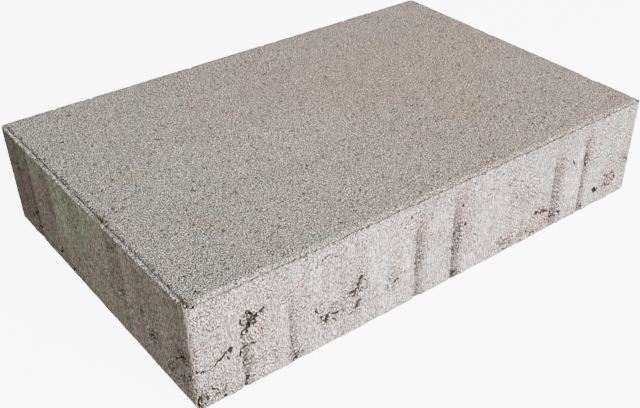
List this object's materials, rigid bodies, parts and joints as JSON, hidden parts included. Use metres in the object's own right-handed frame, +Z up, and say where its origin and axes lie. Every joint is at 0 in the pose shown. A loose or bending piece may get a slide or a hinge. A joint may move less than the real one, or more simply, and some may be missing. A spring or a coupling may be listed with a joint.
{
  "type": "concrete paving stone",
  "caption": "Rectangular concrete paving stone with a narrow bevel round its wearing face and mould-dragged sides.",
  "frame": {"origin": "centre of the underside", "axes": "+X along the length, +Y across the width, +Z up out of the wearing face"},
  "size_m": [0.3, 0.2, 0.06],
  "materials": {
    "concrete": "rough, sandy pressed concrete, weathered grey"
  },
  "bodies": {
    "root": {"paving_stone": "concrete"}
  },
  "joints": []
}
